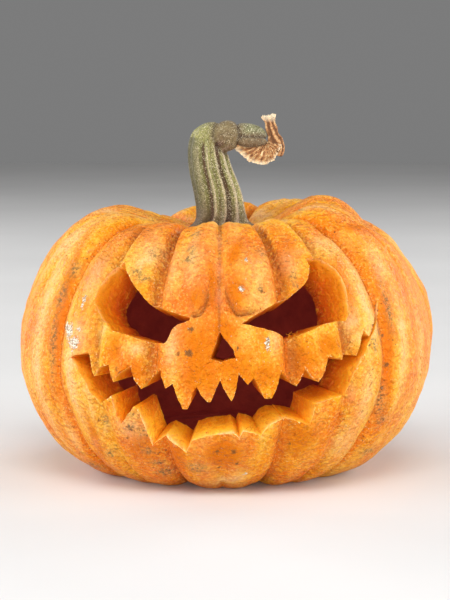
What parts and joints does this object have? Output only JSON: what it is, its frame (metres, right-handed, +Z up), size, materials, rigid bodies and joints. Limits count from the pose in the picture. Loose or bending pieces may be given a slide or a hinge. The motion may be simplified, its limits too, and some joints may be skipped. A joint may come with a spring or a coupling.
{
  "type": "carved pumpkin lantern",
  "caption": "Hollow ribbed pumpkin with angled eyes, a small nose and a jagged toothed mouth cut through its wall, and a ridged bent stem with a dried end, for a candle or lamp inside",
  "frame": {"origin": "centre of the footprint, on the plane the pumpkin rests on", "axes": "+X to the right of the carved face as seen from the front, +Y from the face to the back, +Z up"},
  "size_m": [0.3036, 0.2956, 0.2585],
  "materials": {
    "rind": "satin orange pumpkin rind, yellow-orange flesh at the cuts",
    "stem_bark": "dry grey-green ridged stem with a papery tan end"
  },
  "bodies": {
    "root": {"pumpkin": "rind", "stem": "stem_bark"}
  },
  "joints": []
}
